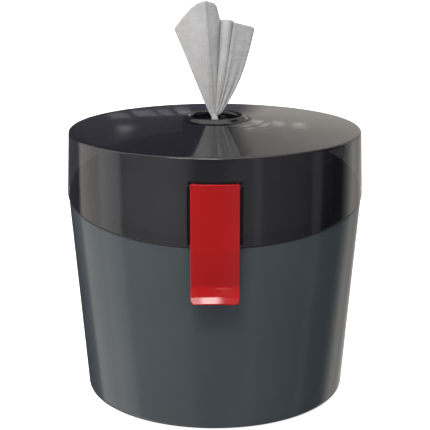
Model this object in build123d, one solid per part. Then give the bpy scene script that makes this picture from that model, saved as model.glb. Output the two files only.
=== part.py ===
"""Portable centre-pull paper towel dispenser that stands on a bench.

A tapered tub holds a roll on end. A tinted lid closes it along a slanted seam, low at the
front and high at the back. The lid turns on a hinge at the back and is held by one latch at
the front. The towel is pulled from the middle of the roll, up through an outlet in the lid.
Millimetres. +Z is up, the front is -Y, and the origin is under the axis on the floor plane.
"""
from math import cos, radians, sin, tan
import os

from build123d import *

# Towel, which the rest is sized to hold
ROLL_RADIUS = 100.0
ROLL_HEIGHT = 200.0
ROLL_HOLLOW_RADIUS = 32.0
ROLL_EDGE = 1.5

# Overall form
ROLL_ROOM = 25.0  # roll to the outside of the lid's mouth
ROLL_SHOW = 29.7  # roll above the seam, on the axis
LID_DRAFT = 2.0  # how much the lid narrows from its mouth to its rim
LID_RISE = 52.2  # rim above the seam, on the axis
TUB_STEP = 0.8  # tub's mouth set in under the lid's
TUB_TAPER = 13.7  # how much the tub narrows from its mouth to its base
SEAM_TILT = 8.63  # degrees, rising to the back
TUB_WALL = 2.5
LID_WALL = 2.5

# Base and feet
BASE_LIFT = 1.0  # clearance under the base between the feet
BASE_FILLET = 5.0
FLOOR_THICKNESS = 2.6
RIB_HEIGHT = 1.2
RIB_WIDTH = 2.0
RIB_COUNT = 8
RIB_INNER_RADIUS = 38.0
RIB_INSET = 2.0  # rib end inside the roll's edge
FOOT_RADIUS = 8.0
FOOT_POCKET_DEPTH = 1.4
FOOT_INSET = 18.5  # foot centre inside the base's edge
FOOT_CLEARANCE = 0.1
FOOT_COUNT = 4

# Collar that the lid drops over, and the seal on its shoulder
COLLAR_WALL = 2.0
COLLAR_RISE = 8.5
COLLAR_GAP = 1.3  # collar to the inside of the lid skirt
BAND_DEPTH = 6.0  # thickened band of the tub wall under the collar
SEAL_THICKNESS = 1.0
SEAL_INSET = 0.4
SOFT_GAP = 0.3  # gap between pieces that only touch in use

# Lid top and outlet
RIM_FILLET = 2.0
SEAT_RADIUS = 30.0  # flat seat round the outlet
CROWN_RISE = 7.7  # seat above the rim
FLANGE_RADIUS = 28.0
FLANGE_RISE = 3.4
FLANGE_EDGE = 1.2  # thickness left at the flange's outer edge
OUTLET_RADIUS = 20.5
BARREL_WALL = 2.2
BARREL_DEPTH = 12.5  # barrel length under the seat
BARREL_CLEARANCE = 0.25
THROAT_RADIUS = 11.0
FUNNEL_FALL = 3.0
FUNNEL_THICKNESS = 1.5
FUNNEL_RECESS = 4.2  # funnel foot above the foot of the barrel
PETAL_THICKNESS = 1.2
PETAL_COUNT = 8
PETAL_SLIT_WIDTH = 0.8
PETAL_SLIT_RADIUS = 9.0
PETAL_HOLE_RADIUS = 3.0
CLAMP_THICKNESS = 2.0
CLAMP_BORE_RADIUS = 12.0
LOCK_RING_WALL = 5.3
LOCK_RING_HEIGHT = 6.0
LOCK_GRIP_COUNT = 12
LOCK_GRIP_RADIUS = 2.0

# Rear hinge
HINGE_OFFSET = 6.5  # axis behind the lid's mouth
HINGE_DROP = 4.0  # axis under the seam at the back
KNUCKLE_RADIUS = 4.4
HINGE_PIN_RADIUS = 2.0
HINGE_PIN_FIT = 0.03
LID_KNUCKLE_WIDTH = 35.0
TUB_KNUCKLE_WIDTH = 12.0
KNUCKLE_GAP = 0.4
HINGE_WEB_HEIGHT = 16.0
HINGE_CAP_WALL = 1.8
HINGE_CAP_THICKNESS = 2.2
HINGE_CAP_DEPTH = 1.4  # how far each cap is pushed on to the pin

# Front latch
LATCH_WIDTH = 37.7
LATCH_LENGTH = 94.2
LATCH_DROP = 17.8  # latch top under the lid's rim
LATCH_STANDOFF = 6.0  # latch face in front of the lid's mouth
LATCH_KINK = 2.5  # how far the plate leans in under the seam, along the tub's taper
LATCH_PLATE = 2.4
LATCH_BARREL_RADIUS = 3.2
LATCH_FLANGE_WIDTH = 2.6
LATCH_FLANGE_DEPTH = 2.4
LATCH_FLANGE_RAMP = 5.0  # height over which the flange fades out at its foot
LATCH_LIP_HEIGHT = 11.7  # finger lip at the foot, which turns outwards
LATCH_LIP_OUT = 4.9
LATCH_FOOT_CORNER = 3.6
LATCH_PIN_RADIUS = 1.5
LATCH_PIN_FIT = 0.03
CHEEK_THICKNESS = 2.2
CHEEK_GAP = 0.4
CHEEK_RADIUS = 3.2
CHEEK_FOOT_RISE = 3.0  # cheek foot above the lid's edge
KEEPER_WIDTH = 24.0
KEEPER_HEIGHT = 14.0
KEEPER_DROP = 5.1  # keeper top under the seam
KEEPER_SLOPE = 0.16  # outwards per unit up, under the slope of the lid's own motion
HOOK_WIDTH = 28.0
HOOK_THICKNESS = 3.0
HOOK_GAP = 0.4

# Loose end of the towel, which fans out from a strand as it leaves the outlet
STRAND_CLEARANCE = 0.3  # strand to the petals' hole
STRAND_LENGTH = 75.0  # strand hanging under the foot of the loose end
SHEET_HEIGHT = 99.0
SHEET_THICKNESS = 0.9
SHEET_GATHER = 0.065  # size of the fan at its foot, as a share of its size at the top
NECK_HEIGHT = 14.0  # solid twist at the foot of the fan
NECK_FLARE = 1.6
# Folds seen from above at the full height, as (x, y), from the left edge round to the back
SHEET_FOLDS = [
    (-42.0, 4.0),
    (-25.0, -6.0),
    (-7.0, -9.0),
    (3.0, 7.0),
    (8.5, -5.0),
    (14.0, 1.0),
    (24.0, -5.0),
    (34.0, 0.0),
    (31.0, 9.0),
    (12.0, 12.0),
    (-8.0, 10.0),
    (-26.0, 14.0),
]
# Torn upper edge seen from the front, as (x, rise above the foot), from right to left
SHEET_EDGE = [
    (29.0, 77.0),
    (13.0, 84.0),
    (4.0, 83.0),
    (1.0, 93.0),
    (-10.0, 99.0),
    (-22.0, 94.0),
    (-34.0, 75.0),
]

# Worked out from the sizes above
TILT = radians(SEAM_TILT)
FLOOR_TOP = BASE_LIFT + FLOOR_THICKNESS
ROLL_FOOT = FLOOR_TOP + RIB_HEIGHT
SEAM_HEIGHT = ROLL_FOOT + ROLL_HEIGHT - ROLL_SHOW
LID_MOUTH_RADIUS = ROLL_RADIUS + ROLL_ROOM
RIM_RADIUS = LID_MOUTH_RADIUS - LID_DRAFT
RIM_HEIGHT = SEAM_HEIGHT + LID_RISE
SEAT_HEIGHT = RIM_HEIGHT + CROWN_RISE
TUB_MOUTH_RADIUS = LID_MOUTH_RADIUS - TUB_STEP
BASE_RADIUS = TUB_MOUTH_RADIUS - TUB_TAPER
SEAM_BACK = SEAM_HEIGHT + LID_MOUTH_RADIUS * tan(TILT)
SEAM_FRONT = SEAM_HEIGHT - LID_MOUTH_RADIUS * tan(TILT)
LID_LIFT = SEAL_THICKNESS + SOFT_GAP  # lid skirt above the tub shoulder
COLLAR_RADIUS = LID_MOUTH_RADIUS - LID_WALL - COLLAR_GAP
COLLAR_BORE = COLLAR_RADIUS - COLLAR_WALL
HINGE_Y = LID_MOUTH_RADIUS + HINGE_OFFSET
HINGE_Z = SEAM_BACK - HINGE_DROP
KNUCKLE_SPAN = LID_KNUCKLE_WIDTH + 2 * KNUCKLE_GAP + 2 * TUB_KNUCKLE_WIDTH
BARREL_FOOT = SEAT_HEIGHT - BARREL_DEPTH
BARREL_RADIUS = OUTLET_RADIUS + BARREL_WALL
FUNNEL_FOOT = BARREL_FOOT + FUNNEL_RECESS
LATCH_FACE = -(LID_MOUTH_RADIUS + LATCH_STANDOFF)
LATCH_TOP = RIM_HEIGHT - LATCH_DROP
LATCH_FOOT = LATCH_TOP - LATCH_LENGTH
LATCH_CREASE = LATCH_FOOT + LATCH_LIP_HEIGHT
LATCH_AXIS_Y = LATCH_FACE + LATCH_BARREL_RADIUS
LATCH_AXIS_Z = LATCH_TOP - LATCH_BARREL_RADIUS
CHEEK_INSIDE = LATCH_WIDTH / 2 + CHEEK_GAP
CHEEK_OUTSIDE = CHEEK_INSIDE + CHEEK_THICKNESS
KEEPER_TOP = SEAM_FRONT - KEEPER_DROP
KEEPER_FOOT = KEEPER_TOP - KEEPER_HEIGHT
STRAND_RADIUS = PETAL_HOLE_RADIUS - STRAND_CLEARANCE
SHEET_FOOT = SEAT_HEIGHT


def seam_disc(radius, lift=0.0):
    """A face in the seam's plane, raised by lift, that is a circle when seen from above."""
    plane = Plane(
        origin=(0, 0, SEAM_HEIGHT + lift),
        x_dir=(0, cos(TILT), sin(TILT)),
        z_dir=(0, -sin(TILT), cos(TILT)),
    )
    return plane * Ellipse(radius / cos(TILT), radius)


def level_disc(radius, height):
    return Plane(origin=(0, 0, height), x_dir=(0, 1, 0), z_dir=(0, 0, 1)) * Circle(radius)


def seam_ring(outer, inner, low, high):
    """An upright ring between two heights above the seam, both parallel to it."""
    ring = seam_disc(outer, low) - seam_disc(inner, low)
    return extrude(ring, amount=high - low, dir=(0, 0, 1))


def bar_along_x(radius, middle_x, width, y, z):
    """A round bar along X."""
    return Pos(middle_x, y, z) * (Rot(0, 90, 0) * Cylinder(radius, width))


def ribbon(points, thickness):
    """Closed outline of a strip of this thickness that follows points in the XY plane."""
    path = [Vector(x, y) for x, y in points]
    sides = []
    for index, point in enumerate(path):
        before = (point - path[index - 1]).normalized() if index else None
        after = (path[index + 1] - point).normalized() if index + 1 < len(path) else None
        along = ((before or after) + (after or before)).normalized()
        across = Vector(-along.Y, along.X)
        square = Vector(-(after or before).Y, (after or before).X)
        sides.append(across * (thickness / 2 / across.dot(square)))
    return [p + s for p, s in zip(path, sides)] + [p - s for p, s in reversed(list(zip(path, sides)))]


def slab_along_x(points, low_x, high_x):
    """A slab along X from (y, z) points joined by straight lines."""
    outline = Plane.YZ * make_face(Polyline(*points, close=True))
    return Pos(low_x, 0, 0) * extrude(outline, amount=high_x - low_x, dir=(1, 0, 0))


def turned(points):
    """A solid of revolution about Z from (radius, height) points joined by straight lines."""
    outline = Plane.XZ * make_face(Polyline(*points, close=True))
    return revolve(outline, axis=Axis.Z)


def tub_radius_front(height):
    """Radius of the tub's outside at the front."""
    share = (height - BASE_LIFT) / (SEAM_FRONT - BASE_LIFT)
    return BASE_RADIUS + share * (TUB_MOUTH_RADIUS - BASE_RADIUS)


def keeper():
    """Shallow ramp on the tub's front that the latch's hook snaps under."""
    foot = tub_radius_front(KEEPER_FOOT)
    top = foot + KEEPER_SLOPE * (KEEPER_TOP - KEEPER_FOOT)
    root = tub_radius_front(KEEPER_FOOT) - TUB_WALL
    points = [(-root, KEEPER_FOOT), (-foot, KEEPER_FOOT), (-top, KEEPER_TOP), (-root, KEEPER_TOP)]
    return slab_along_x(points, -KEEPER_WIDTH / 2, KEEPER_WIDTH / 2)


def tub_knuckles():
    """The two outer knuckles of the hinge with the webs that carry them."""
    middle = (KNUCKLE_SPAN - TUB_KNUCKLE_WIDTH) / 2
    root = COLLAR_BORE
    web = [
        (HINGE_Y, HINGE_Z - KNUCKLE_RADIUS),
        (root, HINGE_Z - HINGE_WEB_HEIGHT),
        (root, HINGE_Z),
        (HINGE_Y, HINGE_Z),
    ]
    knuckles = []
    for side in (-1, 1):
        low = side * middle - TUB_KNUCKLE_WIDTH / 2
        knuckles.append(slab_along_x(web, low, low + TUB_KNUCKLE_WIDTH))
        knuckles.append(bar_along_x(KNUCKLE_RADIUS, side * middle, TUB_KNUCKLE_WIDTH, HINGE_Y, HINGE_Z))
    return knuckles


def tub():
    """Tapered tub with collar, hinge knuckles, latch keeper, floor ribs and foot pockets."""
    shell = loft([level_disc(BASE_RADIUS, BASE_LIFT), seam_disc(TUB_MOUTH_RADIUS)], ruled=True)
    shell = fillet(shell.edges().sort_by(Axis.Z)[0], BASE_FILLET)
    shell += keeper()
    shell += tub_knuckles()
    floor_inside = BASE_RADIUS - TUB_WALL
    mouth_inside = TUB_MOUTH_RADIUS - TUB_WALL
    shell -= loft([level_disc(floor_inside, FLOOR_TOP), seam_disc(mouth_inside, TUB_WALL)], ruled=True)
    shell += seam_ring(TUB_MOUTH_RADIUS - TUB_WALL / 2, COLLAR_BORE, -BAND_DEPTH, 0)
    shell += seam_ring(COLLAR_RADIUS, COLLAR_BORE, 0, COLLAR_RISE)

    rib_length = ROLL_RADIUS - RIB_INSET - RIB_INNER_RADIUS
    rib = Pos(RIB_INNER_RADIUS + rib_length / 2, 0, FLOOR_TOP + RIB_HEIGHT / 2) * Box(
        rib_length, RIB_WIDTH, RIB_HEIGHT
    )
    shell += [Rot(0, 0, turn * 360 / RIB_COUNT) * rib for turn in range(RIB_COUNT)]

    pocket_top = BASE_LIFT + FOOT_POCKET_DEPTH
    pocket = Pos(0, 0, pocket_top / 2) * Cylinder(FOOT_RADIUS + FOOT_CLEARANCE, pocket_top)
    shell -= [place * pocket for place in foot_places()]
    return shell - bar_along_x(HINGE_PIN_RADIUS + HINGE_PIN_FIT, 0, KNUCKLE_SPAN + 1, HINGE_Y, HINGE_Z)


def foot_places():
    return PolarLocations(BASE_RADIUS - FOOT_INSET, FOOT_COUNT, start_angle=180 / FOOT_COUNT)


def rubber_feet():
    """Rubber pads pressed into the pockets under the base."""
    height = BASE_LIFT + FOOT_POCKET_DEPTH
    pad = Pos(0, 0, height / 2) * Cylinder(FOOT_RADIUS, height)
    pad = chamfer(pad.edges().sort_by(Axis.Z)[0], BASE_LIFT / 2)
    return Compound([place * pad for place in foot_places()])


def lid_seal():
    """Thin ring on the tub's shoulder that the lid closes on."""
    return seam_ring(TUB_MOUTH_RADIUS - SEAL_INSET, COLLAR_RADIUS + SEAL_INSET, 0, SEAL_THICKNESS)


def lid_knuckle():
    """The middle knuckle of the hinge with the arm that carries it."""
    edge = SEAM_BACK + LID_LIFT + SOFT_GAP
    root = COLLAR_BORE
    near = HINGE_Y - KNUCKLE_RADIUS
    arm = [
        (HINGE_Y, HINGE_Z),
        (near, HINGE_Z),
        (near, edge),
        (root, edge),
        (root, edge + HINGE_WEB_HEIGHT),
        (HINGE_Y + KNUCKLE_RADIUS, HINGE_Z),
    ]
    half = LID_KNUCKLE_WIDTH / 2
    return [
        slab_along_x(arm, -half, half),
        bar_along_x(KNUCKLE_RADIUS, 0, LID_KNUCKLE_WIDTH, HINGE_Y, HINGE_Z),
    ]


def latch_cheeks():
    """The two upright fins beside the latch that carry its pin."""
    foot = SEAM_FRONT + LID_LIFT + CHEEK_FOOT_RISE
    root = -COLLAR_BORE
    face = LATCH_AXIS_Y - CHEEK_RADIUS / 2
    fin = [(root, foot), (face + CHEEK_RADIUS, foot), (face, foot + CHEEK_RADIUS),
           (face, LATCH_AXIS_Z), (LATCH_AXIS_Y, LATCH_AXIS_Z + CHEEK_RADIUS),
           (root, LATCH_AXIS_Z + 2 * CHEEK_RADIUS)]
    cheeks = []
    for side in (-1, 1):
        low = min(side * CHEEK_INSIDE, side * CHEEK_OUTSIDE)
        cheeks.append(slab_along_x(fin, low, low + CHEEK_THICKNESS))
        middle = low + CHEEK_THICKNESS / 2
        cheeks.append(bar_along_x(CHEEK_RADIUS, middle, CHEEK_THICKNESS, LATCH_AXIS_Y, LATCH_AXIS_Z))
    return cheeks


def lid():
    """Tinted lid: slanted skirt, shallow cone with a flat seat, hinge knuckle, latch cheeks."""
    rim_inside = RIM_RADIUS - LID_WALL
    ceiling = RIM_HEIGHT - LID_WALL
    shell = loft([seam_disc(LID_MOUTH_RADIUS, LID_LIFT), level_disc(RIM_RADIUS, RIM_HEIGHT)], ruled=True)
    foot = [(0, ceiling), (rim_inside, ceiling)]
    shell += turned([*foot, (RIM_RADIUS, RIM_HEIGHT), (SEAT_RADIUS, SEAT_HEIGHT), (0, SEAT_HEIGHT)])
    rim = shell.edges().filter_by(GeomType.CIRCLE)
    rim = rim.filter_by_position(Axis.Z, RIM_HEIGHT - LID_WALL / 2, RIM_HEIGHT + LID_WALL / 2)
    shell = fillet(rim, RIM_FILLET)
    shell += lid_knuckle()
    shell += latch_cheeks()
    mouth_inside = LID_MOUTH_RADIUS - LID_WALL
    mouth = seam_disc(mouth_inside, LID_LIFT - LID_WALL)
    shell -= loft([mouth, level_disc(rim_inside, ceiling)], ruled=True)
    under_seat = SEAT_HEIGHT - LID_WALL
    shell -= turned([(0, ceiling), (rim_inside, ceiling), (SEAT_RADIUS, under_seat), (0, under_seat)])
    shell -= Pos(0, 0, SEAT_HEIGHT) * Cylinder(BARREL_RADIUS + BARREL_CLEARANCE, 4 * LID_WALL)
    shell -= bar_along_x(HINGE_PIN_RADIUS + HINGE_PIN_FIT, 0, KNUCKLE_SPAN, HINGE_Y, HINGE_Z)
    return shell - bar_along_x(LATCH_PIN_RADIUS, 0, 2 * CHEEK_OUTSIDE + 1, LATCH_AXIS_Y, LATCH_AXIS_Z)


def outlet_nozzle():
    """Flanged barrel in the middle of the lid, with a rolled lip and a funnel floor."""
    lip_top = SEAT_HEIGHT + FLANGE_RISE
    lip_radius = OUTLET_RADIUS + FLANGE_RISE
    funnel_throat_top = FUNNEL_FOOT + FUNNEL_THICKNESS
    with BuildPart() as nozzle:
        with BuildSketch(Plane.XZ):
            with BuildLine():
                Polyline(
                    (OUTLET_RADIUS, SEAT_HEIGHT),
                    (OUTLET_RADIUS, funnel_throat_top + FUNNEL_FALL),
                    (THROAT_RADIUS, funnel_throat_top),
                    (THROAT_RADIUS, FUNNEL_FOOT),
                    (OUTLET_RADIUS, FUNNEL_FOOT),
                    (OUTLET_RADIUS, BARREL_FOOT),
                    (BARREL_RADIUS, BARREL_FOOT),
                    (BARREL_RADIUS, SEAT_HEIGHT),
                    (FLANGE_RADIUS, SEAT_HEIGHT),
                    (FLANGE_RADIUS, SEAT_HEIGHT + FLANGE_EDGE),
                    (lip_radius, lip_top),
                )
                RadiusArc((lip_radius, lip_top), (OUTLET_RADIUS, SEAT_HEIGHT), FLANGE_RISE)
            make_face()
        revolve(axis=Axis.Z)
    return nozzle.part


def petal_diaphragm():
    """Rubber disc under the funnel, slit into petals that grip the towel."""
    radius = OUTLET_RADIUS - BARREL_CLEARANCE
    middle = FUNNEL_FOOT - PETAL_THICKNESS / 2
    disc = Pos(0, 0, middle) * Cylinder(radius, PETAL_THICKNESS)
    disc -= Pos(0, 0, middle) * Cylinder(PETAL_HOLE_RADIUS, 2 * PETAL_THICKNESS)
    slit = Pos(PETAL_SLIT_RADIUS / 2, 0, middle) * Box(
        PETAL_SLIT_RADIUS, PETAL_SLIT_WIDTH, 2 * PETAL_THICKNESS
    )
    return disc - [Rot(0, 0, turn * 360 / PETAL_COUNT) * slit for turn in range(PETAL_COUNT)]


def clamp_ring():
    """Ring pressed into the barrel that holds the diaphragm up against the funnel."""
    middle = FUNNEL_FOOT - PETAL_THICKNESS - CLAMP_THICKNESS / 2
    ring = Pos(0, 0, middle) * Cylinder(OUTLET_RADIUS, CLAMP_THICKNESS)
    return ring - Pos(0, 0, middle) * Cylinder(CLAMP_BORE_RADIUS, 2 * CLAMP_THICKNESS)


def lock_ring():
    """Grip ring on the barrel under the lid that clamps the nozzle in its hole."""
    top = SEAT_HEIGHT - LID_WALL
    middle = top - LOCK_RING_HEIGHT / 2
    radius = BARREL_RADIUS + LOCK_RING_WALL
    ring = Pos(0, 0, middle) * Cylinder(radius, LOCK_RING_HEIGHT)
    ring -= Pos(0, 0, middle) * Cylinder(BARREL_RADIUS, 2 * LOCK_RING_HEIGHT)
    grip = Pos(0, 0, middle) * Cylinder(LOCK_GRIP_RADIUS, 2 * LOCK_RING_HEIGHT)
    places = PolarLocations(radius + LOCK_GRIP_RADIUS / 2, LOCK_GRIP_COUNT)
    return ring - [place * grip for place in places]


def hinge_pin():
    """Steel pin through all three knuckles."""
    length = KNUCKLE_SPAN + 2 * HINGE_CAP_DEPTH
    return bar_along_x(HINGE_PIN_RADIUS, 0, length, HINGE_Y, HINGE_Z)


def hinge_pin_caps():
    """Push-on caps at the two ends of the hinge pin."""
    half = KNUCKLE_SPAN / 2
    caps = []
    for side in (-1, 1):
        middle = side * (half + HINGE_CAP_THICKNESS / 2)
        cap = bar_along_x(HINGE_PIN_RADIUS + HINGE_CAP_WALL, middle, HINGE_CAP_THICKNESS, HINGE_Y, HINGE_Z)
        bore = bar_along_x(HINGE_PIN_RADIUS, side * half, 2 * HINGE_CAP_DEPTH, HINGE_Y, HINGE_Z)
        caps.append(cap - bore)
    return Compound(caps)


def latch_pin():
    """Steel pin across the two cheeks that the latch turns on."""
    return bar_along_x(LATCH_PIN_RADIUS, 0, 2 * CHEEK_OUTSIDE, LATCH_AXIS_Y, LATCH_AXIS_Z)


def latch():
    """Pull latch: barrel on the pin, stiffened plate, hook inside, finger lip at the foot."""
    half = LATCH_WIDTH / 2
    back = LATCH_FACE + LATCH_PLATE
    crease = LATCH_FACE + LATCH_KINK
    lip = LATCH_FACE - LATCH_LIP_OUT
    plate = [
        (LATCH_FACE, LATCH_AXIS_Z),
        (LATCH_FACE, SEAM_FRONT),
        (crease, LATCH_CREASE),
        (lip, LATCH_FOOT),
        (lip + LATCH_PLATE, LATCH_FOOT),
        (crease + LATCH_PLATE, LATCH_CREASE),
        (back, SEAM_FRONT),
        (back, LATCH_AXIS_Z),
    ]
    body = slab_along_x(plate, -half, half)
    foot_corners = body.edges().filter_by(Axis.Y, tolerance=1).group_by(Axis.Z)[0]
    body = fillet(foot_corners, LATCH_FOOT_CORNER)
    body += bar_along_x(LATCH_BARREL_RADIUS, 0, LATCH_WIDTH, LATCH_AXIS_Y, LATCH_AXIS_Z)
    flange = [
        (back, LATCH_AXIS_Z),
        (back, SEAM_FRONT),
        (crease + LATCH_PLATE, LATCH_CREASE),
        (crease + LATCH_PLATE + LATCH_FLANGE_DEPTH, LATCH_CREASE + LATCH_FLANGE_RAMP),
        (back + LATCH_FLANGE_DEPTH, SEAM_FRONT),
        (back + LATCH_FLANGE_DEPTH, LATCH_AXIS_Z),
    ]
    body += slab_along_x(flange, -half, LATCH_FLANGE_WIDTH - half)
    body += slab_along_x(flange, half - LATCH_FLANGE_WIDTH, half)
    hook_top = KEEPER_FOOT - HOOK_GAP
    hook_tip = -(tub_radius_front(hook_top) + HOOK_GAP)
    hook_root = crease + LATCH_PLATE / 2
    hook = [
        (hook_root, hook_top - HOOK_THICKNESS),
        (hook_root, hook_top),
        (hook_tip, hook_top),
        (hook_tip, hook_top - HOOK_THICKNESS / 2),
    ]
    body += slab_along_x(hook, -HOOK_WIDTH / 2, HOOK_WIDTH / 2)
    return body - bar_along_x(
        LATCH_PIN_RADIUS + LATCH_PIN_FIT, 0, LATCH_WIDTH + 1, LATCH_AXIS_Y, LATCH_AXIS_Z
    )


def paper_roll():
    """Roll of towel on end, with the hollow that the towel is drawn from."""
    roll = Pos(0, 0, ROLL_FOOT + ROLL_HEIGHT / 2) * Cylinder(ROLL_RADIUS, ROLL_HEIGHT)
    roll = chamfer(roll.edges(), ROLL_EDGE)
    return roll - Pos(0, 0, ROLL_FOOT + ROLL_HEIGHT / 2) * Cylinder(ROLL_HOLLOW_RADIUS, ROLL_HEIGHT + 1)


def towel_sheet():
    """The towel: a twisted strand up through the petals, fanning out into a folded loose end."""
    wide = ribbon(SHEET_FOLDS, SHEET_THICKNESS)
    narrow = [point * SHEET_GATHER for point in wide]
    top = Plane.XY.offset(SHEET_FOOT + SHEET_HEIGHT) * make_face(Polyline(*wide, close=True))
    foot = Plane.XY.offset(SHEET_FOOT) * make_face(Polyline(*narrow, close=True))
    fan = loft([foot, top], ruled=True)

    reach = SHEET_HEIGHT  # wider than the fan
    edge = [(x, SHEET_FOOT + rise) for x, rise in SHEET_EDGE]
    right = [(reach, SHEET_FOOT), (reach, edge[0][1])]
    left = [(-reach, edge[-1][1]), (-reach, SHEET_FOOT)]
    outline = Plane.XZ * make_face(Polyline(*right, *edge, *left, close=True))
    fan &= extrude(outline, amount=reach, both=True)

    neck = Pos(0, 0, SHEET_FOOT + NECK_HEIGHT / 2) * Cone(
        STRAND_RADIUS, STRAND_RADIUS + NECK_FLARE, NECK_HEIGHT
    )
    strand = Pos(0, 0, SHEET_FOOT - STRAND_LENGTH / 2) * Cylinder(STRAND_RADIUS, STRAND_LENGTH)
    return fan + neck + strand


PIECES = {
    "tub": tub,
    "rubber_feet": rubber_feet,
    "lid_seal": lid_seal,
    "lid": lid,
    "outlet_nozzle": outlet_nozzle,
    "petal_diaphragm": petal_diaphragm,
    "clamp_ring": clamp_ring,
    "lock_ring": lock_ring,
    "hinge_pin": hinge_pin,
    "hinge_pin_caps": hinge_pin_caps,
    "latch": latch,
    "latch_pin": latch_pin,
    "paper_roll": paper_roll,
    "towel_sheet": towel_sheet,
}


def main():
    os.makedirs("parts", exist_ok=True)
    for name, make in PIECES.items():
        export_step(make(), os.path.join("parts", name + ".step"))


main()
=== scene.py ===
"""Looks of a portable centre-pull paper towel dispenser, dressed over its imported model."""
import math
from math import cos, pi, radians, sin, tan

import bmesh
import bpy
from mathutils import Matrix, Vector, noise


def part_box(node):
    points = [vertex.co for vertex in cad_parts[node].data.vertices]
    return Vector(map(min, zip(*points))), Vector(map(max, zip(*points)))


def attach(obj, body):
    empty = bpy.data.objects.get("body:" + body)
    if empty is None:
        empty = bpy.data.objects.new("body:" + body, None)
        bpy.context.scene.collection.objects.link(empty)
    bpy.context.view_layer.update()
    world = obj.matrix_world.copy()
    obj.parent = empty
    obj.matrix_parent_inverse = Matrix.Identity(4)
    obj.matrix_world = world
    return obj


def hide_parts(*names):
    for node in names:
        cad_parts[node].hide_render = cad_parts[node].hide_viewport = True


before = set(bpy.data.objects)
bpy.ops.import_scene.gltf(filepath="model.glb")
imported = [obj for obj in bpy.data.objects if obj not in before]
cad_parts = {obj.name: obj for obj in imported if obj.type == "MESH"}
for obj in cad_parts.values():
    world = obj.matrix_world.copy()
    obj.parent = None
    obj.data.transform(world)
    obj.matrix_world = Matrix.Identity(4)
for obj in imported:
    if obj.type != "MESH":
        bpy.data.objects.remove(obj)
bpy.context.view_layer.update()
MM = 0.001

# Camera, as fitted to the photograph, and floor, in metres
CAMERA_PLACE = Vector((0.0, -1.04125, 0.42381))
CAMERA_AIM = Vector((0.0, 0.0, 0.15107))
CAMERA_LENS = 104.83  # millimetres, on a sensor 36 mm wide
FLOOR_REACH = 90.0  # each way

# Sizes of the pieces are in millimetres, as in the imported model
SEGMENTS = 256  # round each turned piece
WALL = 2.5
EDGE_ROUND = 0.5
CREASE_ROUND = 0.3
LID_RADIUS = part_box("lid")[1][0] / MM
TUB_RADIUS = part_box("tub")[1][0] / MM

# Seam between tub and lid: a plane that rises to the back
TILT = tan(radians(8.63))
SEAM = 175.1  # on the axis
SEAM_FRONT = SEAM - LID_RADIUS * TILT
SEAM_BACK = SEAM + LID_RADIUS * TILT

# Tub, with the collar that stands up inside the lid
BASE_RADIUS = TUB_RADIUS - 13.7
BASE = 1.0
BASE_ROUND = 5.0
FLOOR = 3.6
FLOOR_ROUND = 3.0
DISC_RADIUS = 40.0  # flat discs close the base and the floor inside this radius
COLLAR_RADIUS = 121.2
COLLAR_BORE = 119.2
COLLAR_RISE = 8.5
COLLAR_ROUND = 0.6
BAND_DEPTH = 6.0
BAND_TAPER = 2.0
MOUTH_STEP = 0.6

# Lid: an upright wall and a shallow cone that climbs to the outlet's seat
RIM_RADIUS = LID_RADIUS - 2.0
RIM = 227.3
RIM_ROUND = 2.2
RIM_ROUND_INSIDE = 1.2
LID_FOOT_ROUND = 0.4  # inside
LID_LIFT = 1.3  # lid's edge above the tub's shoulder
SEAT_RADIUS = 30.0
SEAT = 235.0
SEAT_BEND = 60.0  # radius of the soft bend under the seat
CONE_STEPS = 60
CONE_START = 3.0  # inward from the rim
RIPPLE_HEIGHT = 0.06
RIPPLE_LENGTH = 8.5
RIPPLE_FADE = 14.0
RIM_BAND = 4.0  # width of the dark band that runs along the rim's top
RIM_DEPTH = 5.0  # its depth down the wall

# Outlet nozzle, set in the lid's seat
NOZZLE_RADIUS = 28.0
OUTLET_RADIUS = 20.5
BARREL_RADIUS = 22.7
BARREL_PLAY = 0.25
BARREL_FOOT = 222.5
FUNNEL_FOOT = 226.7
FUNNEL_RISE = 5.0
FUNNEL_EDGE = 0.5
FUNNEL_INSET = 0.4
THROAT_RADIUS = 11.0
THROAT_DEPTH = 1.0
LIP_RISE = 3.4
LIP_FOOT = 0.6
LIP_ROUND = LIP_RISE - LIP_FOOT
LIP_SLOPE = 4.6
LIP_STEPS = 10
FLANGE_EDGE = 0.15
FLANGE_GAP = 0.1

# Hinge at the back
HINGE_Y = 131.5
HINGE_Z = 190.072
HINGE_ROOT = COLLAR_BORE + 1.0  # the webs start inside the tub's wall
HINGE_WEB = 16.0
HINGE_PLAY = 0.3  # between the lid's arm and the lid's edge
LID_WEB = HINGE_WEB - 3.0
KNUCKLE_RADIUS = 4.4
LID_KNUCKLE = 35.0
TUB_KNUCKLE = 12.0
KNUCKLE_SPAN = LID_KNUCKLE + 0.8 + 2 * TUB_KNUCKLE

# Latch at the front, the cheeks that carry its pin and the keeper that it snaps under
LATCH_Y = -127.8
LATCH_Z = 206.3
LATCH_FACE = -131.0
LATCH_TOP = 208.4
LATCH_FOOT = 116.3
LATCH_CREASE = LATCH_FOOT + 11.7
LATCH_LEAN = 2.5  # inward at the crease
LIP_KNEE = 4.6  # above the foot, where the finger lip bends further out
LIP_KNEE_OUT = 1.2
LIP_OUT = 4.9
LATCH_BENDS = [0, 14.0, 5.0, 9.0, 0]  # radii down the latch, from its top
LATCH_STEP = 0.9
LATCH_WIDTH = 37.7
LATCH_CROWN = 1.3
LATCH_PLATE = 2.2
LATCH_FLANGE = 2.0  # behind the plate, along both sides
FLANGE_WIDTH = 2.4
FLANGE_DRAFT = 0.4
FLANGE_RAMP = 6.0  # it grows over this height above the crease
LATCH_BARREL = 1.75
FOOT_CORNER = 3.6
TOP_CORNER = 1.2
HOOK_WIDTH = 28.0
HOOK_ROOT = LATCH_FACE + 3.2
HOOK_DEPTH = 3.0
HOOK_TIP = 1.5
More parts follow.
